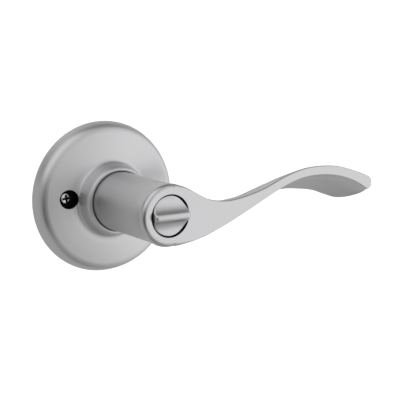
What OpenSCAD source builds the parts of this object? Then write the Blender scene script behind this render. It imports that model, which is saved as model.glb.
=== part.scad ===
// Privacy lever handle, room side half.
// Lengths in mm. Y = 0 is the door face, -Y points out of the door,
// +X runs along the lever arm and +Z is up. The spindle is the Y axis.

/* [Rose] */
// Outer radius of the rose at the door
rose_r = 31.75; // [31.5:0.05:32.5]
// Radius of the two screw access holes
access_r = 3.9; // [3.6:0.1:4.2]
// Spacing of the two through screws
screw_pcd = 38.1; // [37.6:0.1:38.6]
// Turn of the screw line away from level, degrees
screw_clock = 4; // [0:1:8]

/* [Screws] */
// Shank radius of a through screw
screw_r = 2.0; // [1.9:0.05:2.1]
// Length of a through screw below its head
screw_len = 19; // [16:1:50]

/* [Lever] */
// Distance from the door to the front face of the lever
face_h = 54.5; // [53.5:0.5:56]
// Radius of the neck where it enters the rose
neck_r = 12.05; // [11.9:0.05:12.05]
// Radius of the hole for the turn button
button_hole_r = 8.1; // [8.0:0.05:8.2]
// Rounding of the long edges of the arm
arm_edge = 0.6; // [0.4:0.1:0.8]
// Crown of the top of the arm
arm_crown = 0.5; // [0.2:0.1:0.8]
// Hollow of the underside of the arm
arm_hollow = 0.8; // [0.3:0.1:1.2]

/* [Button] */
// Radius of the turn button
button_r = 7.6; // [7.4:0.05:7.7]
// Height of the grip ridge above the lever face
ridge_rise = 2.8; // [2.2:0.1:3.2]
// Width of the grip ridge at its top
ridge_w = 2.2; // [1.6:0.1:2.6]
// Radius of the two finger scoops
scoop_r = 4.8; // [4.4:0.1:5.2]

/* [Inside] */
// Radius of the journal that turns in the plate
journal_r = 7.0; // [6.8:0.1:7.1]
// Running clearance of the turning parts
fit = 0.05; // [0.03:0.01:0.08]
// Wire radius of the return spring
wire_r = 0.65; // [0.5:0.05:0.7]
// Free turn of the lever to either stop, degrees
stop_turn = 52; // [48:1:55]
// Length of the drive spindle behind the door face
spindle_out = 36; // [32:1:46]
// Length of the torque blade behind the door face
blade_out = 40; // [36:1:52]

/* [Hidden] */

screw_at = screw_pcd / 2;
rivet_at = 17.4;
// overlap of two pieces of one solid, and overshoot of a cutter
eps = 0.01;
over = 1;

// heights over the door face
lip_t = 0.6;
plate_top = 2.2;
cup_top = 8.6;
cap_top = 9.3;
neck_end = 10.4;
pin_h = 12.3;
bush_top = 13.5;
hub_top = 20.6;
rear_bore_top = 24;
detent_h = 30;
sleeve_seat = 37;
button_back = 42;
socket_top = 45;
hub_back = -1.6;
scoop_floor = face_h - 0.5;

// rose and plate
plate_r = rose_r - 1.25;
lip_r = rose_r - 2.35;
lip_gap = 0.3;
bush_out = 14;

// cup of the return spring
cup_in = 13.4;
cup_out = 14.4;
cap_bore = 9;
stop_in = 11.4;
stop_h = 1.9;
post_in = 11.15;
post_out = 11.85;
post_h = 4.2;
post_half = 8;
stop_half = 6;
ear_r = 20;
ear_w = 7;
ear_t = 1;

// screws, washers and rivets
hole_play = 0.15;
washer_r = 4;
washer_t = 0.6;
head_r = 2.6;
head_edge = 1.2;
head_rise = 2;
recess_w = 0.7;
recess_len = 3;
recess_at = 20;
thread_top = 0.4;
relief = 0.25;
rivet_r = 1.3;
rivet_head_r = 1.9;
rivet_head_h = 0.15;

// hub, spindle and pins
core_r = 8.6;
barrel_r = 8;
neck_bore = barrel_r + 0.05;
flange_r = 9.2;
flange_h = [2.4, 3.8];
groove_r = journal_r - 0.7;
groove_h = [-0.9, 0.1];
lug_half = 15;
lug_h = [2.5, 3.7];
dog_r = 12.7;
dog_in = 12.15;
mid_bore = 6;
spindle_r = 4.9;
spindle_root_r = 5.3;
spindle_root_h = 9.2;
spindle_bore = 3.25;
spindle_flat = 3.9;
flat_end = 8;
undercut = [2, 0.4];
pin_r = 1;
pin_from = 5.4;
pin_len = 6.5;

// turn button, stem and blade
sleeve_h = 22.6;
sleeve_rim_r = 7.9;
sleeve_rim_t = 1.6;
window = [7, 8, 4.4];
leaf_t = 0.45;
leaf_gap = 2.55;
leaf_len = 6.6;
leaf_h = 3.6;
stem_r = 3;
stem_h = 10.5;
stem_flat = 2.5;
clip_h = 21.4;
clip_t = 1;
clip_root = 2.3;
blade = [5.6, 1.2];
blade_slot = 1.24;
blade_top = 14.4;

$fn = 96;

// local z becomes the way out of the door, local x stays and local y becomes up
module out() {
    rotate([90, 0, 0])
        children();
}

module ring(ro, ri, h0, h1) {
    translate([0, 0, h0])
        difference() {
            cylinder(r = ro, h = h1 - h0);
            translate([0, 0, -1])
                cylinder(r = ri, h = h1 - h0 + 2);
        }
}

// part of a ring, centred on the angle a
module sector(ro, ri, h0, h1, a, half) {
    translate([0, 0, h0])
        rotate([0, 0, a - half])
            rotate_extrude(angle = 2 * half)
                translate([ri, 0])
                    square([ro - ri, h1 - h0]);
}

// faces of a closed tube through m outlines of n points
function tube_faces(m, n) = concat(
    [for (i = [0:m - 2]) for (k = [0:n - 1])
        let (q = (k + 1) % n)
            [i * n + k, i * n + q, (i + 1) * n + q, (i + 1) * n + k]],
    [[for (k = [n - 1:-1:0]) k], [for (k = [0:n - 1]) (m - 1) * n + k]]
);

module at_screws() {
    for (side = [0, 180])
        rotate([0, 0, side - screw_clock])
            translate([screw_at, 0, 0])
                children();
}

module at_rivets() {
    for (side = [90, 270])
        rotate([0, 0, side - screw_clock])
            translate([rivet_at, 0, 0])
                children();
}

// cross hole for the hub pins
module pin_hole() {
    translate([0, 0, pin_h])
        rotate([90, 0, 0])
            cylinder(r = pin_r, h = 40, center = true);
}

// ---------- fixed to the door ----------

// face of the rose from the rim to the neck, as [radius, height]
rose_face = [
    [rose_r, 0.8], [rose_r - 0.5, 2.4], [rose_r - 1.2, 4], [rose_r - 2.2, 5.2],
    [rose_r - 3.7, 6], [rose_r - 5.7, 6.5], [23.1, 7.1], [19.3, 7.75], [17.2, 8],
    [16.2, 8.2], [15.5, 8.6], [15.15, 9.3], [14.9, 10.5], [14.6, 12], [14.35, 13.3],
    [14.1, 14.2], [13.75, 14.9], [13.25, 15.3], [12.75, 15.35], [12.4, 15.15],
    [neck_r + lip_gap, 14.7]
];
// back of the sheet, from the bushing out to the rim
rose_inside = [
    [bush_out, 12.4], [14.1, 11.6], [14.4, 10.2], [14.6, 9.3], [15.2, 7.9],
    [17, 7.1], [19.1, 6.7], [23, 6],
    [rose_r - 4.7, 5], [rose_r - 3.8, 4.4], [rose_r - 2.7, 3.2], [plate_r, 1.6]
];
access_from = 3;

module rose_cover() {
    color("silver")
        out()
            difference() {
                rotate_extrude()
                    polygon(concat(
                        [[lip_r, 0], [rose_r, 0]],
                        rose_face,
                        [[neck_r + lip_gap, bush_top], [bush_out, bush_top]],
                        rose_inside,
                        [[plate_r, lip_t], [lip_r, lip_t]]
                    ));
                at_screws()
                    translate([0, 0, access_from])
                        cylinder(r = access_r, h = bush_top);
            }
}

module mounting_plate() {
    color("gainsboro")
        out()
            difference() {
                ring(plate_r, journal_r + fit, lip_t, plate_top);
                at_screws()
                    cylinder(r = screw_r + hole_play, h = 10, center = true);
                at_rivets()
                    cylinder(r = rivet_r, h = 10, center = true);
            }
}

module spring_housing() {
    stop_at = lug_half + stop_turn + stop_half;
    color("lightslategray")
        out() {
            difference() {
                union() {
                    ring(cup_out, cup_in, plate_top, cup_top);
                    intersection() {
                        ring(ear_r, cup_in + 0.5, plate_top, plate_top + ear_t);
                        rotate([0, 0, -screw_clock])
                            cube([ear_w, 3 * ear_r, ear_r], center = true);
                    }
                }
                at_rivets()
                    cylinder(r = rivet_r, h = 20, center = true);
            }
            for (side = [-1, 1])
                sector(cup_in + 0.3, stop_in, plate_top, plate_top + stop_h,
                    270 + side * stop_at, stop_half);
        }
}

module housing_cap() {
    spigot = 0.6;
    color("gainsboro")
        out() {
            ring(cup_out, cap_bore, cup_top, cap_top);
            ring(cup_in, cup_in - 0.4, cup_top - spigot, cup_top + 0.2);
            sector(post_out, post_in, post_h, cup_top + 0.2, 270, post_half);
        }
}

module housing_rivets() {
    closed_h = plate_top + ear_t;
    color("darkgray")
        out()
            at_rivets() {
                translate([0, 0, rivet_head_h])
                    cylinder(r = rivet_head_r, h = lip_t - rivet_head_h);
                translate([0, 0, 0.3])
                    cylinder(r = rivet_r, h = closed_h - 0.1);
                translate([0, 0, closed_h])
                    cylinder(r1 = 2.2, r2 = 1.4, h = 0.8);
            }
}

module neck_bushing() {
    color("whitesmoke")
        out()
            ring(bush_out, neck_r + fit, cap_top + 0.1, bush_top);
}

module screw_washers() {
    color("darkgray")
        out()
            at_screws()
                ring(washer_r, screw_r + hole_play, plate_top, plate_top + washer_t);
}

module through_screws() {
    head_h = plate_top + washer_t;
    tip_h = head_h - screw_len;
    color("silver")
        out()
            at_screws()
                difference() {
                    rotate_extrude()
                        polygon([
                            [0, tip_h], [screw_r - 0.5, tip_h], [screw_r, tip_h + 0.7],
                            [screw_r, thread_top], [screw_r - relief, thread_top - 0.2],
                            [screw_r - relief, head_h], [head_r, head_h],
                            [head_r, head_h + head_edge], [head_r - 0.5, head_h + 1.7],
                            [head_r - 1.4, head_h + 1.95], [0, head_h + head_rise]
                        ]);
                    for (turn = [0, 90])
                        rotate([0, 0, recess_at + turn])
                            translate([0, 0, head_h + head_rise - 0.4])
                                cube([recess_len, recess_w, 1.6], center = true);
                }
}

// return spring: helix between two radial legs
coil_r = 10.2;
coil_low = 4.6;
coil_pitch = 1.45;
coil_turns = 1 + (360 - 2 * (post_half + 5)) / 360;
leg_end = 12.5;

function spring_turn(t) = 270 + post_half + 5 + t * coil_turns * 360;
function spring_point(t) = [
    coil_r * cos(spring_turn(t)),
    coil_r * sin(spring_turn(t)),
    coil_low + t * coil_turns * coil_pitch
];

module wire(a, b) {
    d = b - a;
    translate(a)
        rotate([0, acos(d[2] / norm(d)), atan2(d[1], d[0])])
            cylinder(r = wire_r, h = norm(d), $fn = 16);
}

module return_spring() {
    sides = 8;
    steps = 60;
    rings = [for (i = [0:steps])
        let (p = spring_point(i / steps), a = spring_turn(i / steps))
            [for (k = [0:sides - 1])
                [p[0] + wire_r * cos(360 * k / sides) * cos(a),
                    p[1] + wire_r * cos(360 * k / sides) * sin(a),
                    p[2] + wire_r * sin(360 * k / sides)]]];
    points = [for (r = rings) for (p = r) p];
    color("dimgray")
        out() {
            polyhedron(points = points, faces = tube_faces(steps + 1, sides));
            for (t = [0, 1])
                let (a = spring_turn(t), h = spring_point(t)[2])
                    wire([coil_r * cos(a), coil_r * sin(a), h],
                        [leg_end * cos(a), leg_end * sin(a), h]);
        }
}

module spring_washer() {
    cone_t = 0.5;
    color("lightslategray")
        out()
            rotate_extrude()
                polygon([
                    [cap_bore + 0.3, neck_end - 0.1 - cone_t], [cap_bore + 0.3, neck_end - 0.1],
                    [neck_r - 0.45, cap_top + cone_t], [neck_r - 0.45, cap_top]
                ]);
}

// ---------- turning with the lever ----------

// x, top and bottom of the front edge, depth, height and thickness of the rear edge
ARM = [
    [0, 9.6, -9.6, 7.5, 0, 18],
    [4, 10.8, -11.1, 7.7, 0, 19],
    [8.5, 9.3, -10.95, 7.7, -0.7, 17],
    [12.5, 6.95, -10.1, 7.8, -1.3, 14],
    [16.5, 4.95, -9.1, 8.1, -1.9, 11],
    [21, 3.8, -7.45, 8.4, -1.9, 8.4],
    [27, 3.4, -5.2, 9, -0.7, 6.4],
    [35.5, 4.6, -1.5, 9.6, 0.8, 4.8],
    [44, 6.8, 2.35, 10.4, 3, 4.3],
    [54, 10.6, 6.6, 11.8, 5.2, 4.1],
    [63.5, 13, 9.2, 13.7, 5.4, 4.1],
    [73, 13.55, 9.7, 16.2, 4.2, 4],
    [82, 12.85, 8.7, 17.7, 2.6, 3.9],
    [89.5, 11.05, 6.6, 17.9, 0, 3.7],
    [94.5, 9.5, 4.5, 16, -1.7, 3.5],
    [97.2, 8.6, 3, 12, -1.3, 3.3],
    [100, 7.5, 1.6, 7, 0.4, 3],
    [101.4, 6.8, 1.9, 4, 1.9, 2.4],
    [102.1, 6, 2.8, 2, 3.4, 1.6]
];
arm_last = len(ARM) - 1;
arm_steps = 4;
// extra rounding of the front edges where the arm leaves the boss, and its length
root_edge = 1.4;
root_len = 10;

function slope(i) = let (a = ARM[max(i - 1, 0)], b = ARM[min(i + 1, arm_last)])
    (b - a) / (b[0] - a[0]);
function arm_row(i, s) = let (h = ARM[i + 1][0] - ARM[i][0])
    (2 * s ^ 3 - 3 * s ^ 2 + 1) * ARM[i] + (s ^ 3 - 2 * s ^ 2 + s) * h * slope(i)
    + (3 * s ^ 2 - 2 * s ^ 3) * ARM[i + 1] + (s ^ 3 - s ^ 2) * h * slope(i + 1);
function mix(a, b, s) = a * (1 - s) + b * s;

// closed outline of the arm at one station, as [height out of the door, up]
function arm_outline(w) = let (
    edge = min(arm_edge + root_edge * max(0, 1 - w[0] / root_len), 0.3 * (w[1] - w[2])),
    nose = min(w[5] / 2, 0.4 * w[3]),
    back = face_h - w[3] + nose,
    front = face_h - edge,
    full = min(1, w[3] / 12)
) concat(
    [for (a = [0, 45, 90]) [front + edge * cos(a), w[1] - edge + edge * sin(a)]],
    [for (s = [0.25, 0.5, 0.75]) [mix(front, back, s),
        mix(w[1], w[4] + w[5] / 2, s) + full * arm_crown * 4 * s * (1 - s)]],
    [for (a = [0:30:180]) [back - nose * sin(a), w[4] + w[5] / 2 * cos(a)]],
    [for (s = [0.25, 0.5, 0.75]) [mix(back, front, s),
        mix(w[4] - w[5] / 2, w[2], s) + full * arm_hollow * 4 * s * (1 - s)]],
    [for (a = [0, 45, 90]) [front + edge * sin(a), w[2] + edge - edge * cos(a)]]
);

module arm() {
    rows = concat(
        [for (i = [0:arm_last - 1]) for (k = [0:arm_steps - 1]) arm_row(i, k / arm_steps)],
        [ARM[arm_last]]);
    outlines = [for (w = rows) arm_outline(w)];
    n = len(outlines[0]);
    m = len(rows);
    points = [for (i = [0:m - 1]) for (p = outlines[i]) [rows[i][0], p[1], p[0]]];
    polyhedron(points = points, faces = tube_faces(m, n));
}

module lever() {
    front_r = neck_r - 0.2;
    rim = 2;
    color("silver")
        out()
            difference() {
                union() {
                    rotate_extrude()
                        polygon(concat(
                            [[0, neck_end], [neck_r, neck_end], [neck_r, 16]],
                            [[neck_r - 0.42, face_h - 12], [neck_r - 0.45, face_h - 7],
                             [neck_r - 0.35, face_h - 4.2]],
                            [for (a = [0:22.5:90])
                                [front_r - rim + rim * cos(a), face_h - rim + rim * sin(a)]],
                            [[0, face_h]]
                        ));
                    arm();
                }
                translate([0, 0, neck_end - over])
                    cylinder(r = neck_bore, h = rear_bore_top - neck_end + over);
                cylinder(r = mid_bore, h = sleeve_seat + over);
                translate([0, 0, sleeve_seat])
                    cylinder(r = button_hole_r, h = face_h);
                pin_hole();
            }
}

module drive_hub() {
    color("slategray")
        out()
            difference() {
                union() {
                    rotate_extrude()
                        polygon([
                            [spindle_root_r, hub_back], [journal_r - 0.4, hub_back],
                            [journal_r, hub_back + 0.4], [journal_r, groove_h[0]],
                            [groove_r, groove_h[0]], [groove_r, groove_h[1]],
                            [journal_r, groove_h[1]], [journal_r, flange_h[0]],
                            [flange_r, flange_h[0]], [flange_r, flange_h[1]],
                            [core_r, flange_h[1]], [core_r, neck_end - 0.2],
                            [barrel_r, neck_end - 0.2], [barrel_r, hub_top - 0.6],
                            [barrel_r - 0.6, hub_top], [spindle_root_r, hub_top]
                        ]);
                    sector(dog_r, core_r - 0.1, lug_h[0], lug_h[1], 270, lug_half);
                    sector(dog_r - 0.05, dog_in, lug_h[1] - 0.1, cup_top - 0.8, 270, post_half);
                }
                pin_hole();
            }
}

module drive_spindle() {
    root = spindle_r - undercut[1];
    color("slategray")
        out()
            difference() {
                rotate_extrude()
                    polygon([
                        [spindle_bore, -spindle_out], [spindle_r, -spindle_out],
                        [spindle_r, -flat_end], [root, -flat_end],
                        [root, undercut[0] - flat_end], [spindle_r, undercut[0] - flat_end],
                        [spindle_r, hub_back], [spindle_root_r, hub_back],
                        [spindle_root_r, spindle_root_h], [spindle_bore, spindle_root_h]
                    ]);
                translate([-2 * spindle_r, spindle_flat, -spindle_out - over])
                    cube([4 * spindle_r, spindle_r, spindle_out - flat_end + 2 * over]);
            }
}

module hub_pins() {
    color("darkgray")
        out()
            for (side = [-1, 1])
                translate([0, side * pin_from, pin_h])
                    rotate([-side * 90, 0, 0])
                        cylinder(r = pin_r, h = pin_len);
}

module thrust_washer() {
    color("gold")
        out()
            ring(10.5, journal_r + 0.3, groove_h[1], lip_t - 0.05);
}

module retaining_ring() {
    color("dimgray")
        out()
            difference() {
                ring(flange_r, groove_r, groove_h[0] + 0.05, groove_h[1] - 0.05);
                translate([-1.5, 0, -3])
                    cube([3, 20, 6]);
            }
}

module button_sleeve() {
    color("whitesmoke")
        out()
            difference() {
                union() {
                    ring(mid_bore, stem_r + fit, sleeve_h, sleeve_seat + eps);
                    ring(sleeve_rim_r, stem_r + fit, sleeve_seat, sleeve_seat + sleeve_rim_t);
                }
                translate([0, 0, detent_h])
                    cube(window, center = true);
            }
}

// U-shaped leaf spring that grips the squared stretch of the stem
module detent_clip() {
    color("darkgoldenrod")
        out()
            translate([0, 0, detent_h - leaf_h / 2])
                union() {
                    for (side = [0, 1])
                        mirror([side, 0, 0])
                            translate([leaf_gap, 0.1 - leaf_len / 2, 0])
                                cube([leaf_t, leaf_len, leaf_h]);
                    translate([-leaf_gap - leaf_t, 0.1 + leaf_len / 2 - leaf_t, 0])
                        cube([2 * (leaf_gap + leaf_t), leaf_t, leaf_h]);
                }
}

// ---------- turning with the button ----------

module turn_button() {
    top = face_h + ridge_rise;
    scoop_h = scoop_floor + scoop_r;
    scoop_at = ridge_w / 2 + sqrt(scoop_r ^ 2 - (scoop_h - top) ^ 2);
    color("silver")
        out()
            difference() {
                translate([0, 0, button_back])
                    cylinder(r = button_r, h = top - button_back);
                for (side = [-1, 1])
                    translate([0, side * scoop_at, scoop_h])
                        rotate([0, 90, 0])
                            cylinder(r = scoop_r, h = 4 * button_r, center = true);
                translate([0, 0, button_back - over])
                    cylinder(r = stem_r, h = socket_top - button_back + over);
            }
}

module button_stem() {
    detent_w = window[2];
    color("slategray")
        out()
            difference() {
                rotate_extrude()
                    polygon([
                        [0, stem_h], [stem_r, stem_h], [stem_r, clip_h], [clip_root, clip_h],
                        [clip_root, clip_h + clip_t], [stem_r, clip_h + clip_t],
                        [stem_r, socket_top], [0, socket_top]
                    ]);
                for (turn = [0:90:270])
                    rotate([0, 0, turn])
                        translate([stem_flat, -stem_r - over, detent_h - detent_w / 2])
                            cube([stem_r, 2 * (stem_r + over), detent_w]);
                translate([0, 0, stem_h])
                    cube([10, blade_slot, 2 * (blade_top - stem_h) + 0.2], center = true);
            }
}

module torque_blade() {
    color("gray")
        out()
            translate([-blade[0] / 2, -blade[1] / 2, -blade_out])
                cube([blade[0], blade[1], blade_out + blade_top]);
}

module stem_clip() {
    clip_r = 4.7;
    mouth = 3.8;
    color("dimgray")
        out()
            difference() {
                ring(clip_r, clip_root, clip_h + 0.1, clip_h + clip_t - 0.1);
                translate([-mouth / 2, 0, clip_h - over])
                    cube([mouth, 2 * clip_r, clip_t + 2 * over]);
            }
}

rose_cover();
mounting_plate();
spring_housing();
housing_cap();
housing_rivets();
neck_bushing();
screw_washers();
through_screws();
return_spring();
spring_washer();
lever();
drive_hub();
drive_spindle();
hub_pins();
thrust_washer();
retaining_ring();
button_sleeve();
detent_clip();
turn_button();
button_stem();
torque_blade();
stem_clip();
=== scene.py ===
"""Looks of the privacy lever handle: spun rose, cast lever, turn button and the works behind them.

Lengths are in mm and are turned into metres where a mesh is made. A height is the distance
out of the door, which is -Y in the frame; the spindle is the Y axis.
"""
import math

import bmesh
import bpy
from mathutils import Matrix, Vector


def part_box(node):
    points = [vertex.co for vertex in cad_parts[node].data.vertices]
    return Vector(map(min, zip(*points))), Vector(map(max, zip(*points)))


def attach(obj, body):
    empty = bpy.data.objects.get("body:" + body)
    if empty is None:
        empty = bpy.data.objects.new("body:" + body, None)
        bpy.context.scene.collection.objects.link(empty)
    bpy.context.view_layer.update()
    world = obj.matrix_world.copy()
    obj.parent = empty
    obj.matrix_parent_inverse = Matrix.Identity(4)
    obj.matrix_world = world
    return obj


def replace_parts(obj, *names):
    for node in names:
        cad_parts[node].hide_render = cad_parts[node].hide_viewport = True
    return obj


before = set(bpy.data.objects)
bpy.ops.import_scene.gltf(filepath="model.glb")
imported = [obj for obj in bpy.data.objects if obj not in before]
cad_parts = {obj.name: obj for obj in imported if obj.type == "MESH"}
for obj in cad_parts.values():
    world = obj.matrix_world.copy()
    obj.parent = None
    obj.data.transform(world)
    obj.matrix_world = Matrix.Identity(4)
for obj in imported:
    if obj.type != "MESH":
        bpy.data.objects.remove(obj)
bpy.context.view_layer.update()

MM = 0.001
TURN = 2 * math.pi


# ---------- sizes read from the frame ----------

def reach(node, axis, end):
    """Lowest (end 0) or highest (end 1) coordinate of a CAD node, in mm."""
    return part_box(node)[end][axis] / MM


ROSE_R = reach("rose_cover", 0, 1)
ROSE_TOP = -reach("rose_cover", 1, 0)
FACE_H = -reach("lever", 1, 0)
NECK_END = -reach("lever", 1, 1)
BUTTON_R = reach("turn_button", 0, 1)
BUTTON_TOP = -reach("turn_button", 1, 0)
BUTTON_BACK = -reach("turn_button", 1, 1)

# the same sizes as the solids': screws at a radius and turned from level, then the rose's
# access holes, lip and seats, the neck and its bores
SCREW_AT, SCREW_CLOCK = 19.05, math.radians(4)
ACCESS_R, ACCESS_FROM = 3.9, 3.0
LIP_R, PLATE_R, LIP_T = ROSE_R - 2.35, ROSE_R - 1.25, 0.6
BUSH_R, BUSH_TOP, COLLAR_R = 14.0, 13.6, 12.2
NECK_R, NECK_FROM, NECK_TAPER, RIM = 12.05, 16.0, 0.2, 2.0
HOLE_R, WEB_BORE_R, REAR_BORE_R = 8.1, 6.0, 8.05
WEB_LOW, REAR_BORE_TOP, WEB_TOP = 20.0, 24.0, 37.0
# overshoot of a cutter, and the smallest radius of a revolved outline
OVER, CORE_R = 1.0, 0.001


# ---------- mesh helpers ----------

def spline(points, steps):
    """Points on a Catmull-Rom curve through the given ones."""
    out = []
    last = len(points) - 1
    for i in range(last):
        p0, p1 = points[max(i - 1, 0)], points[i]
        p2, p3 = points[i + 1], points[min(i + 2, last)]
        for k in range(steps):
            s = k / steps
            out.append(tuple(
                0.5 * (2 * b + (c - a) * s + (2 * a - 5 * b + 4 * c - d) * s ** 2
                       + (3 * b - a - 3 * c + d) * s ** 3)
                for a, b, c, d in zip(p0, p1, p2, p3)))
    out.append(tuple(points[-1]))
    return out


def new_object(name, verts, faces):
    mesh = bpy.data.meshes.new(name)
    mesh.from_pydata([Vector(v) * MM for v in verts], [], faces)
    obj = bpy.data.objects.new(name, mesh)
    bpy.context.scene.collection.objects.link(obj)
    bm = bmesh.new()
    bm.from_mesh(mesh)
    bmesh.ops.remove_doubles(bm, verts=bm.verts, dist=1e-7)
    bmesh.ops.recalc_face_normals(bm, faces=bm.faces)
    bm.to_mesh(mesh)
    bm.free()
    return obj


def revolve(name, profile, segments=192):
    """A closed solid of revolution about the spindle, from a closed list of (radius, height)."""
    verts, faces = [], []
    n = len(profile)
    for j in range(segments):
        a = TURN * j / segments
        verts += [(r * math.cos(a), -h, r * math.sin(a)) for r, h in profile]
    for j in range(segments):
        for i in range(n):
            a, b = j * n + i, j * n + (i + 1) % n
            c, d = (j + 1) % segments * n + (i + 1) % n, (j + 1) % segments * n + i
            faces.append((a, b, c, d))
    return new_object(name, verts, faces)


def cylinder_y(name, r, low, high, x=0.0, z=0.0, segments=96):
    """A plain cutter along the spindle direction."""
    ring = [(r * math.cos(TURN * k / segments) + x, r * math.sin(TURN * k / segments) + z)
            for k in range(segments)]
    verts = [(px, -low, pz) for px, pz in ring] + [(px, -high, pz) for px, pz in ring]
    faces = [tuple(range(segments)), tuple(range(2 * segments - 1, segments - 1, -1))]
    faces += [(k, (k + 1) % segments, segments + (k + 1) % segments, segments + k)
              for k in range(segments)]
    return new_object(name, verts, faces)


def combine(obj, other, operation):
    """Boolean of two closed meshes, applied; the second one is used up."""
    mod = obj.modifiers.new("cut", "BOOLEAN")
    mod.operation = operation
    mod.object = other
    mod.solver = "EXACT"
    bake(obj)
    bpy.data.objects.remove(other)
    return obj


def bake(obj):
    """Replaces the mesh with its evaluated form and drops the modifiers."""
    bpy.context.view_layer.update()
    graph = bpy.context.evaluated_depsgraph_get()
    mesh = bpy.data.meshes.new_from_object(obj.evaluated_get(graph))
    obj.modifiers.clear()
    obj.data = mesh
    return obj


def smooth(obj, angle=32, weighted=True):
    """Smooth shading with sharp edges above an angle in degrees."""
    bm = bmesh.new()
    bm.from_mesh(obj.data)
    for face in bm.faces:
        face.smooth = True
    for edge in bm.edges:
        edge.smooth = edge.calc_face_angle(0) < math.radians(angle)
    bm.to_mesh(obj.data)
    bm.free()
    if weighted:
        mod = obj.modifiers.new("weighted", "WEIGHTED_NORMAL")
        mod.keep_sharp = True
        mod.weight = 80
    return obj


# ---------- materials ----------

def node_material(name):
    mat = bpy.data.materials.new(name)
    mat.use_nodes = True
    tree = mat.node_tree
    shader = tree.nodes["Principled BSDF"]
    return mat, tree, shader


def math_node(tree, operation, a, b=None):
    node = tree.nodes.new("ShaderNodeMath")
    node.operation = operation
    for slot, value in enumerate((a, b)):
        if value is None:
            continue
        if isinstance(value, (int, float)):
            node.inputs[slot].default_value = value
        else:
            tree.links.new(value, node.inputs[slot])
    return node.outputs[0]


def noise_node(tree, vector, scale, detail=4.0, rough=0.6):
    node = tree.nodes.new("ShaderNodeTexNoise")
    node.inputs["Scale"].default_value = scale
    node.inputs["Detail"].default_value = detail
    node.inputs["Roughness"].default_value = rough
    tree.links.new(vector, node.inputs["Vector"])
    return node.outputs["Fac"]


def ramp(tree, value, low, high, color_low, color_high):
    node = tree.nodes.new("ShaderNodeValToRGB")
    node.color_ramp.elements[0].position = low
    node.color_ramp.elements[0].color = (*color_low, 1)
    node.color_ramp.elements[1].position = high
    node.color_ramp.elements[1].color = (*color_high, 1)
    tree.links.new(value, node.inputs["Fac"])
    return node.outputs["Color"]


def map_range(tree, value, low, high, to_low, to_high, curve="LINEAR"):
    node = tree.nodes.new("ShaderNodeMapRange")
    node.interpolation_type = curve
    for slot, number in zip(("From Min", "From Max", "To Min", "To Max"),
                            (low, high, to_low, to_high)):
        node.inputs[slot].default_value = number
    tree.links.new(value, node.inputs["Value"])
    return node.outputs["Result"]


def stretched(tree, scale):
    """Object coordinates in mm, stretched, so that a noise becomes grain."""
    coords = tree.nodes.new("ShaderNodeTexCoord")
    mapping = tree.nodes.new("ShaderNodeMapping")
    mapping.inputs["Scale"].default_value = [s / MM for s in scale]
    tree.links.new(coords.outputs["Object"], mapping.inputs["Vector"])
    return mapping.outputs["Vector"]


def polar(tree, across, around, along):
    """Coordinates (radius, angle, height) about the spindle, for a lathe-turned grain."""
    coords = tree.nodes.new("ShaderNodeTexCoord")
    split = tree.nodes.new("ShaderNodeSeparateXYZ")
    tree.links.new(coords.outputs["Object"], split.inputs["Vector"])
    x, y, z = (split.outputs[k] for k in "XYZ")
    square = math_node(tree, "ADD", math_node(tree, "MULTIPLY", x, x),
                       math_node(tree, "MULTIPLY", z, z))
    radius = math_node(tree, "MULTIPLY", math_node(tree, "SQRT", square), across / MM)
    angle = math_node(tree, "MULTIPLY", math_node(tree, "ARCTAN2", z, x), around)
    height = math_node(tree, "MULTIPLY", y, along / MM)
    joined = tree.nodes.new("ShaderNodeCombineXYZ")
    for slot, value in zip("XYZ", (radius, angle, height)):
        tree.links.new(value, joined.inputs[slot])
    return joined.outputs["Vector"]


def softer(part, near, far, amount):
    """Extra roughness that fades out between two radii (part X) or heights (part Z), in mm."""
    def build(tree):
        split = tree.nodes.new("ShaderNodeSeparateXYZ")
        tree.links.new(polar(tree, 1, 1, -1), split.inputs["Vector"])
        return map_range(tree, split.outputs[part], near, far, amount, 0, "SMOOTHSTEP")
    return build


def metal(name, color, roughness, vector_of, grain=0.02, spread=0.05, bump=0.02, brushed=0,
          soften=None):
    """Metal with a directional grain in roughness and bump and faint clouds in colour."""
    mat, tree, shader = node_material(name)
    shader.inputs["Metallic"].default_value = 1.0
    if brushed:
        shader.inputs["Anisotropic"].default_value = brushed
        shader.inputs["Anisotropic Rotation"].default_value = 0.25
        along = tree.nodes.new("ShaderNodeTangent")
        along.direction_type, along.axis = "RADIAL", "Y"
        tree.links.new(along.outputs["Tangent"], shader.inputs["Tangent"])
    lines = noise_node(tree, vector_of(tree), 1.0)
    clouds = noise_node(tree, stretched(tree, (0.08, 0.08, 0.08)), 1.0, 2.0)
    dark = [c * (1 - grain) for c in color]
    light = [min(1.0, c * (1 + grain)) for c in color]
    both = math_node(tree, "ADD", math_node(tree, "MULTIPLY", lines, 0.7),
                     math_node(tree, "MULTIPLY", clouds, 0.3))
    tree.links.new(ramp(tree, both, 0.35, 0.65, dark, light), shader.inputs["Base Color"])
    rough = map_range(tree, lines, 0.3, 0.7, roughness - spread, roughness + spread)
    if soften:
        rough = math_node(tree, "ADD", rough, soften(tree))
    tree.links.new(rough, shader.inputs["Roughness"])
    relief = tree.nodes.new("ShaderNodeBump")
    relief.inputs["Strength"].default_value = bump
    relief.inputs["Distance"].default_value = 0.0001
    tree.links.new(lines, relief.inputs["Height"])
    tree.links.new(relief.outputs["Normal"], shader.inputs["Normal"])
    return mat


def dress(obj, mat, painted_shade=None, is_painted_shade=None):
    """One material, or a second one as painted shade on the faces where the given test of centre
    in mm and normal is true.
    """
    obj.data.materials.clear()
    obj.data.materials.append(mat)
    for face in obj.data.polygons:
        face.material_index = 0
    if painted_shade:
        obj.data.materials.append(painted_shade)
        for face in obj.data.polygons:
            if is_painted_shade(face.center / MM, face.normal):
                face.material_index = 1


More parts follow.
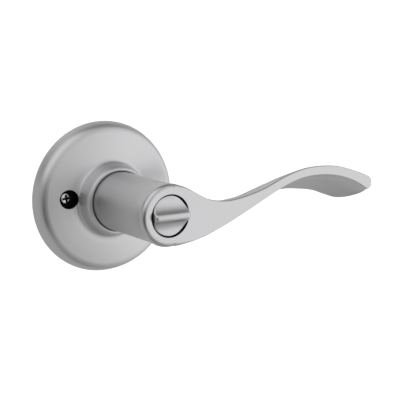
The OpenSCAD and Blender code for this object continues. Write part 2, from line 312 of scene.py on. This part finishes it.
NICKEL = (0.65, 0.65, 0.66)
CAST_NICKEL = (0.615, 0.615, 0.625)
satin_cast = metal("satin_cast", CAST_NICKEL, 0.26, lambda t: stretched(t, (0.35, 3.0, 3.0)),
                   grain=0.01, spread=0.03, bump=0.008,
                   soften=softer("Z", FACE_H - 9, FACE_H - 3, 0.14))
satin_spun = metal("satin_spun", NICKEL, 0.34, lambda t: polar(t, 3.0, 1.2, 3.0),
                   grain=0.01, spread=0.03, bump=0.006, brushed=0.5,
                   soften=softer("X", 14.8, 17.5, 0.1))
satin_turned = metal("satin_turned", CAST_NICKEL, 0.32, lambda t: stretched(t, (0.4, 3.0, 3.0)),
                     grain=0.01, spread=0.02, bump=0.004)
zinc = metal("zinc", (0.55, 0.56, 0.58), 0.38, lambda t: stretched(t, (1.2, 1.2, 1.2)),
             grain=0.1, spread=0.08)
spring_steel = metal("spring_steel", (0.22, 0.22, 0.23), 0.35,
                     lambda t: stretched(t, (2, 2, 2)), grain=0.1)
brass = metal("brass", (0.72, 0.55, 0.27), 0.3, lambda t: polar(t, 3.0, 1.0, 3.0))
# near-black steel: the colour of the dark works, and also painted shade on the back of the rose
# and inside the screw recesses
dark_steel_and_painted_shade = metal("dark_steel_and_painted_shade", (0.035, 0.035, 0.04), 0.5,
                   lambda t: stretched(t, (1.5, 1.5, 1.5)), grain=0.1, spread=0.08)
bright = metal("bright", (0.80, 0.80, 0.80), 0.22, lambda t: polar(t, 2.0, 1.0, 2.0))


def plastic(name, color):
    mat, tree, shader = node_material(name)
    shader.inputs["Roughness"].default_value = 0.45
    speck = noise_node(tree, stretched(tree, (1.5, 1.5, 1.5)), 1.0, 6.0)
    low = [c * 0.94 for c in color]
    tree.links.new(ramp(tree, speck, 0.35, 0.65, low, color), shader.inputs["Base Color"])
    relief = tree.nodes.new("ShaderNodeBump")
    relief.inputs["Strength"].default_value = 0.05
    relief.inputs["Distance"].default_value = 0.0001
    tree.links.new(speck, relief.inputs["Height"])
    tree.links.new(relief.outputs["Normal"], shader.inputs["Normal"])
    return mat


nylon = plastic("nylon", (0.10, 0.10, 0.10))


# ---------- rose ----------

def inside_rose_painted_shade(centre, normal):
    """True on the back of the sheet, which is painted near-black as shade: faces to the door, and
    to the spindle under the collar.
    """
    out = (centre.x * normal.x + centre.z * normal.z) / math.hypot(centre.x, centre.z)
    return normal.y > 0.05 or (out < -0.5 and -centre.y < BUSH_TOP - 0.2)


def rose_cover():
    rim = [(ROSE_R, 0.0), (ROSE_R, 0.3)]
    face = spline([
        (ROSE_R, 0.8), (ROSE_R - 0.5, 2.4), (ROSE_R - 1.2, 4.0), (ROSE_R - 2.2, 5.2),
        (ROSE_R - 3.7, 6.0), (ROSE_R - 5.7, 6.5), (23.1, 7.1), (19.3, 7.75), (17.2, 8.0),
        (16.2, 8.2), (15.5, 8.6), (15.15, 9.3), (14.9, 10.5), (14.6, 12), (14.35, 13.3),
        (14.1, 14.2), (13.75, 14.9), (13.25, 15.3), (12.75, 15.35), (12.4, 15.15),
        (COLLAR_R, 14.7)], 8)
    inside = [
        (COLLAR_R, BUSH_TOP), (BUSH_R, BUSH_TOP), (BUSH_R, 12.4), (14.1, 11.6), (14.4, 10.2),
        (14.6, 9.3), (15.2, 7.9), (17.0, 7.1), (19.1, 6.7), (23.0, 6.0), (ROSE_R - 4.7, 5.0),
        (ROSE_R - 3.8, 4.4), (ROSE_R - 2.7, 3.2), (PLATE_R, 1.6), (PLATE_R, LIP_T),
        (LIP_R, LIP_T), (LIP_R, 0.0)]
    rose = revolve("rose_shell", rim + face + inside, 256)
    for side in (0, math.pi):
        a = side - SCREW_CLOCK
        cutter = cylinder_y("cutter", ACCESS_R, ACCESS_FROM, ROSE_TOP + 5,
                            SCREW_AT * math.cos(a), SCREW_AT * math.sin(a))
        combine(rose, cutter, "DIFFERENCE")
    # the back of the sheet and the inside of the collar get the near-black steel as painted shade
    dress(rose, satin_spun, dark_steel_and_painted_shade, inside_rose_painted_shade)
    smooth(rose)
    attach(rose, "rose")
    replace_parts(rose, "rose_cover")


# ---------- lever ----------

# x, top and bottom of the front edge, depth, height and thickness of the rear edge
ARM = [
    (0, 11.4, -11.4, 5.5, 0, 20.5), (2, 11.65, -11.75, 5.6, -0.1, 20.6),
    (4, 11.1, -11.7, 6.2, -0.3, 20), (6, 10.45, -11.4, 7, -0.5, 18.8),
    (8.5, 9.3, -10.95, 7.7, -0.7, 17), (12.5, 6.95, -10.1, 7.8, -1.3, 14),
    (16.5, 4.95, -9.1, 8.1, -1.9, 11), (21, 3.8, -7.45, 8.4, -1.9, 8.4),
    (27, 3.4, -5.2, 9, -0.7, 6.4), (35.5, 4.6, -1.5, 9.6, 0.8, 4.8),
    (44, 6.8, 2.35, 10.4, 3, 4.3), (54, 10.6, 6.6, 11.8, 5.2, 4.1),
    (63.5, 13, 9.2, 13.7, 5.4, 4.1), (73, 13.55, 9.7, 16.2, 4.2, 4),
    (82, 12.85, 8.7, 17.7, 2.6, 3.9), (89.5, 11.05, 6.6, 17.9, 0, 3.7),
    (94.5, 9.5, 4.5, 16, -1.7, 3.5), (97.2, 8.6, 3, 12, -1.3, 3.3),
    (100, 7.5, 1.6, 7, 0.4, 3), (101.4, 6.8, 1.9, 4, 1.9, 2.4),
    (102.1, 6, 2.8, 2, 3.4, 1.6)]
ARM_EDGE, ARM_CROWN, ARM_HOLLOW = 0.6, 0.5, 0.8
# extra rounding of the front edges where the arm leaves the boss, and its length
ROOT_EDGE, ROOT_LEN = 1.4, 10
ARM_STEPS = 14


def arm_row(i, s):
    """Hermite curve through the stations, the same one as the solid's."""
    def slope(k):
        a, b = ARM[max(k - 1, 0)], ARM[min(k + 1, len(ARM) - 1)]
        return [(q - p) / (b[0] - a[0]) for p, q in zip(a, b)]
    h = ARM[i + 1][0] - ARM[i][0]
    return [(2 * s ** 3 - 3 * s ** 2 + 1) * p + (s ** 3 - 2 * s ** 2 + s) * h * m
            + (3 * s ** 2 - 2 * s ** 3) * q + (s ** 3 - s ** 2) * h * n
            for p, q, m, n in zip(ARM[i], ARM[i + 1], slope(i), slope(i + 1))]


def arm_outline(row):
    """Closed outline at one station, as (height, z)."""
    x, top, low, depth, rear, thick = row
    root = ROOT_EDGE * max(0, 1 - x / ROOT_LEN)
    edge = min(ARM_EDGE + root, 0.3 * (top - low))
    nose = min(thick / 2, 0.4 * depth)
    back, front = FACE_H - depth + nose, FACE_H - edge
    full = min(1.0, depth / 12)

    def between(a, b, s):
        return a * (1 - s) + b * s

    arcs = [math.radians(a) for a in range(0, 91, 15)]
    spans = [k / 12 for k in range(1, 12)]
    out = [(front + edge * math.cos(a), top - edge + edge * math.sin(a)) for a in arcs]
    out += [(between(front, back, s), between(top, rear + thick / 2, s)
             + full * ARM_CROWN * 4 * s * (1 - s)) for s in spans]
    out += [(back - nose * math.sin(a), rear + thick / 2 * math.cos(a))
            for a in (math.pi * k / 16 for k in range(17))]
    out += [(between(back, front, s), between(rear - thick / 2, low, s)
             + full * ARM_HOLLOW * 4 * s * (1 - s)) for s in spans]
    out += [(front + edge * math.sin(a), low + edge - edge * math.cos(a)) for a in arcs]
    return out


def arm():
    rows = [arm_row(i, k / ARM_STEPS) for i in range(len(ARM) - 1) for k in range(ARM_STEPS)]
    rows.append(ARM[-1])
    outlines = [arm_outline(row) for row in rows]
    n = len(outlines[0])
    verts = [(row[0], -h, z) for row, line in zip(rows, outlines) for h, z in line]
    faces = [(i * n + k, i * n + (k + 1) % n, (i + 1) * n + (k + 1) % n, (i + 1) * n + k)
             for i in range(len(rows) - 1) for k in range(n)]
    faces += [tuple(range(n - 1, -1, -1)), tuple(range((len(rows) - 1) * n, len(rows) * n))]
    return new_object("arm", verts, faces)


def lever():
    front_r = NECK_R - NECK_TAPER
    neck = [(NECK_R, NECK_END), (NECK_R, NECK_FROM)]
    neck += spline([(NECK_R, NECK_FROM), (NECK_R - 0.22, 29), (NECK_R - 0.42, FACE_H - 12),
                    (NECK_R - 0.45, FACE_H - 7), (NECK_R - 0.35, FACE_H - 4.2),
                    (front_r, FACE_H - RIM)], 8)[:-1]
    neck += [(front_r - RIM + RIM * math.cos(a), FACE_H - RIM + RIM * math.sin(a))
             for a in (math.radians(9 * k) for k in range(11))]
    neck += [(CORE_R, FACE_H), (CORE_R, NECK_END)]
    body = revolve("lever_skin", neck, 192)
    combine(body, arm(), "UNION")
    for r, low, high in ((REAR_BORE_R, NECK_END - OVER, REAR_BORE_TOP),
                         (WEB_BORE_R, WEB_LOW, WEB_TOP + OVER),
                         (HOLE_R, WEB_TOP, FACE_H + OVER)):
        combine(body, cylinder_y("cutter", r, low, high), "DIFFERENCE")
    smooth(body)
    dress(body, satin_cast)
    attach(body, "lever")
    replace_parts(body, "lever")


# ---------- turn button ----------

# half width of the grip ridge, radius of its crown and of its bow; the two finger scoops;
# rounding of the ridge's corners, of the round edge, and of that edge at the ridge's ends
RIDGE, CROWN_R, BOW_R = 1.35, 2.4, 140
SCOOP_R, SCOOP_FLOOR = 4.8, FACE_H - 0.5
ROUNDING, EDGE, RIDGE_END = 0.45, 0.45, 1.2


def scoop_height(z):
    """Height of the button's face across the crowned ridge, with sharp corners."""
    if abs(z) < RIDGE:
        return BUTTON_TOP - CROWN_R + math.sqrt(CROWN_R ** 2 - z * z)
    centre_h = SCOOP_FLOOR + SCOOP_R
    centre_z = RIDGE + math.sqrt(SCOOP_R ** 2 - (centre_h - BUTTON_TOP) ** 2)
    off = min(abs(abs(z) - centre_z), SCOOP_R)
    return min(centre_h - math.sqrt(SCOOP_R ** 2 - off ** 2), BUTTON_TOP)


def face_height(z):
    """The same with the ridge's corners rounded by rolling a ball of the rounding radius."""
    return min(scoop_height(z + s * ROUNDING) + ROUNDING - ROUNDING * math.sqrt(1 - s * s)
               for s in (k / 12 for k in range(-12, 13)))


def button_height(x, z):
    """Front of the button: bowed along the ridge, with its round edge."""
    inset = max(0.0, BUTTON_R - math.hypot(x, z))
    across = face_height(z)
    height = across - BOW_R + math.sqrt(BOW_R ** 2 - x * x)
    edge = EDGE + (RIDGE_END - EDGE) * (across - SCOOP_FLOOR) / (BUTTON_TOP - SCOOP_FLOOR)
    if inset < edge:
        height -= edge - math.sqrt(max(0.0, edge ** 2 - (edge - inset) ** 2))
    return height


def turn_button():
    """Front of the button as rows of points on chords, closed by a straight wall and a back."""
    rows, columns = 120, 72
    verts, faces = [], []
    for j in range(1, rows):
        z = -BUTTON_R * math.cos(math.pi * j / rows)
        half = math.sqrt(BUTTON_R ** 2 - z * z)
        for i in range(columns + 1):
            x = -half * math.cos(math.pi * i / columns)
            verts.append((x, -button_height(x, z), z))
    n, count = columns + 1, rows - 1
    for j in range(count - 1):
        for i in range(columns):
            faces.append((j * n + i, j * n + i + 1, (j + 1) * n + i + 1, (j + 1) * n + i))
    rim = list(range(n))
    rim += [j * n + n - 1 for j in range(1, count)]
    rim += [(count - 1) * n + i for i in range(n - 2, -1, -1)]
    rim += [j * n for j in range(count - 2, 0, -1)]
    base, m = len(verts), len(rim)
    for k in rim:
        x, _, z = verts[k]
        verts.append((x, -BUTTON_BACK, z))
    faces += [(rim[k], base + k, base + (k + 1) % m, rim[(k + 1) % m]) for k in range(m)]
    faces.append(tuple(range(base, base + m)))
    button = new_object("button_knob", verts, faces)
    smooth(button, 50)
    dress(button, satin_turned)
    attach(button, "button")
    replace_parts(button, "turn_button")


# ---------- screws ----------

SCREW_BACK = -reach("through_screws", 1, 1)
SCREW_TOP = -reach("through_screws", 1, 0)
# radius and height of the head; shank, thread root, thread crest and pitch
HEAD_R, HEAD_H = 2.6, 2.0
SHANK_R, ROOT_R, CREST_R, PITCH = 1.75, 1.55, 1.95, 0.8
# length and width of a bar of the cross recess, each at the top and at the bottom
RECESS = (3.9, 1.7, 1.0, 0.5)
RECESS_DEEP, RECESS_AT = 1.5, math.radians(6)


def recess_cutter(turn):
    """One tapered bar of the cross recess."""
    long_top, long_low, wide_top, wide_low = RECESS
    verts = []
    for h, a, b in ((SCREW_TOP + 0.3, long_top, wide_top),
                    (SCREW_TOP - RECESS_DEEP, long_low, wide_low)):
        for u, v in ((-a, -b), (a, -b), (a, b), (-a, b)):
            verts.append((u / 2 * math.cos(turn) - v / 2 * math.sin(turn), -h,
                          u / 2 * math.sin(turn) + v / 2 * math.cos(turn)))
    faces = [(0, 1, 2, 3), (7, 6, 5, 4)] + [(k, (k + 1) % 4, 4 + (k + 1) % 4, 4 + k)
                                          for k in range(4)]
    return new_object("recess", verts, faces)


# faces inside the cross recess, which are painted near-black as shade
def in_recess_painted_shade(centre, normal):
    depth = SCREW_TOP + centre.y
    return 0.25 < depth < RECESS_DEEP + 0.1 and math.hypot(centre.x, centre.z) < RECESS[0] / 2


def screw(name, side):
    """One screw with ring threads, a domed head and a cross recess, at its place in the rose."""
    profile = [(CORE_R, SCREW_BACK), (ROOT_R - 0.05, SCREW_BACK)]
    h = SCREW_BACK + 0.5
    while h + PITCH < 0:
        profile += [(ROOT_R, h), (CREST_R, h + 0.35 * PITCH), (CREST_R, h + 0.5 * PITCH),
                    (ROOT_R, h + 0.85 * PITCH)]
        h += PITCH
    profile += [(SHANK_R, 0.4), (SHANK_R, SCREW_TOP - HEAD_H), (HEAD_R, SCREW_TOP - HEAD_H),
                (HEAD_R, SCREW_TOP - 0.9)]
    profile += spline([(HEAD_R, SCREW_TOP - 0.9), (HEAD_R - 0.25, SCREW_TOP - 0.45),
                       (HEAD_R - 0.9, SCREW_TOP - 0.15), (HEAD_R - 1.8, SCREW_TOP - 0.02),
                       (CORE_R, SCREW_TOP)], 5)
    piece = revolve(name, profile, 64)
    combine(piece, recess_cutter(RECESS_AT), "DIFFERENCE")
    combine(piece, recess_cutter(RECESS_AT + math.pi / 2), "DIFFERENCE")
    # the cross recess gets the near-black steel as painted shade
    dress(piece, bright, dark_steel_and_painted_shade, in_recess_painted_shade)
    a = side - SCREW_CLOCK
    shift = Vector((SCREW_AT * math.cos(a), 0, SCREW_AT * math.sin(a))) * MM
    for vertex in piece.data.vertices:
        vertex.co += shift
    smooth(piece, 35)
    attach(piece, "rose")
    return piece


def screws():
    for name, side in (("screw_right", 0), ("screw_left", math.pi)):
        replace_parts(screw(name, side), "through_screws")


# ---------- works ----------

WORKS = {
    zinc: ("drive_hub", "drive_spindle", "button_stem", "torque_blade", "housing_rivets"),
    dark_steel_and_painted_shade: ("mounting_plate", "spring_housing", "housing_cap", "screw_washers"),
    spring_steel: ("return_spring", "spring_washer", "retaining_ring", "detent_clip",
                   "stem_clip"),
    bright: ("hub_pins",),
    brass: ("thrust_washer",),
    nylon: ("neck_bushing", "button_sleeve"),
}


def works():
    for mat, names in WORKS.items():
        for name in names:
            dress(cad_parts[name], mat)


# ---------- studio ----------

AZIMUTH, ELEVATION = math.radians(-33.47), math.radians(9.55)
AIM = Vector((34.2, -22.2, -1.7)) * MM
DISTANCE = 337.2 * MM
LENS = 71.76
FLOOR_Z, FLOOR_HALF, FLOOR_GLOW = -160, 3000, 0.8


def camera():
    back = Vector((math.sin(AZIMUTH) * math.cos(ELEVATION),
                   -math.cos(AZIMUTH) * math.cos(ELEVATION), math.sin(ELEVATION)))
    data = bpy.data.cameras.new("camera")
    data.lens = LENS
    data.clip_start = 0.01
    obj = bpy.data.objects.new("camera", data)
    bpy.context.scene.collection.objects.link(obj)
    obj.location = AIM + back * DISTANCE
    obj.rotation_euler = back.to_track_quat("Z", "Y").to_euler()
    bpy.context.scene.camera = obj


def floor():
    corners = [(-1, -1), (1, -1), (1, 1), (-1, 1)]
    obj = new_object("floor", [(x * FLOOR_HALF, y * FLOOR_HALF, FLOOR_Z) for x, y in corners],
                     [(0, 1, 2, 3)])
    mat, tree, shader = node_material("floor_paper")
    fibre = noise_node(tree, stretched(tree, (0.02, 0.02, 0.02)), 1.0)
    tree.links.new(ramp(tree, fibre, 0.2, 0.8, (0.50, 0.50, 0.50), (0.55, 0.55, 0.55)),
                   shader.inputs["Base Color"])
    shader.inputs["Roughness"].default_value = 0.9
    shader.inputs["Emission Color"].default_value = (1, 1, 1, 1)
    shader.inputs["Emission Strength"].default_value = FLOOR_GLOW
    obj.visible_glossy = obj.visible_diffuse = False
    dress(obj, mat)


# soft boxes and black cards round the object: the way to each, how much it adds to the
# ambient light, and the angles from its middle where its edge begins and ends
AMBIENT, BACKDROP = 0.5, 1.1
SOFT_LIGHTS = [
    ((0.85, -0.5, -0.05), 0.15, 28, 47),     # tall box on the right
    ((0.75, -0.6, -0.1), 0.4, 20, 70),       # and its wide, weaker glow
    ((-0.5, -0.35, 0.75), 0.45, 24, 46),     # key, high on the left
    ((-0.1, 0.8, 0.55), 0.25, 15, 50),       # glow over the back
    ((0.25, 0.15, 0.95), -0.26, 10, 40),     # card overhead
    ((0.15, -0.5, -0.85), -0.22, 12, 42),    # card below
    ((-0.65, 0.4, 0.65), -0.25, 10, 35),     # card behind the key
    ((-0.52, -0.83, -0.27), -0.34, 10, 33),  # card round the camera
    ((-0.85, -0.45, -0.15), -0.1, 15, 40)]   # card on the left


def sky():
    """White for the camera; reflections see the soft boxes and cards."""
    world = bpy.data.worlds.new("studio")
    bpy.context.scene.world = world
    world.use_nodes = True
    tree = world.node_tree
    back = tree.nodes["Background"]
    coords = tree.nodes.new("ShaderNodeTexCoord")
    tone = AMBIENT
    for direction, strength, inner, outer in SOFT_LIGHTS:
        facing = tree.nodes.new("ShaderNodeVectorMath")
        facing.operation = "DOT_PRODUCT"
        facing.inputs[1].default_value = Vector(direction).normalized()
        tree.links.new(coords.outputs["Generated"], facing.inputs[0])
        box = map_range(tree, facing.outputs["Value"], math.cos(math.radians(outer)),
                        math.cos(math.radians(inner)), 0, strength, "SMOOTHSTEP")
        tone = math_node(tree, "ADD", box, tone)
    path = tree.nodes.new("ShaderNodeLightPath")
    straight = path.outputs["Is Camera Ray"]
    seen = math_node(tree, "MULTIPLY", straight, BACKDROP)
    felt = math_node(tree, "MULTIPLY", tone, math_node(tree, "SUBTRACT", 1.0, straight))
    tree.links.new(math_node(tree, "ADD", seen, felt), back.inputs["Strength"])
    back.inputs["Color"].default_value = (1, 1, 1, 1)


rose_cover()
lever()
turn_button()
screws()
works()
camera()
floor()
sky()
bpy.context.scene.view_settings.view_transform = "Standard"
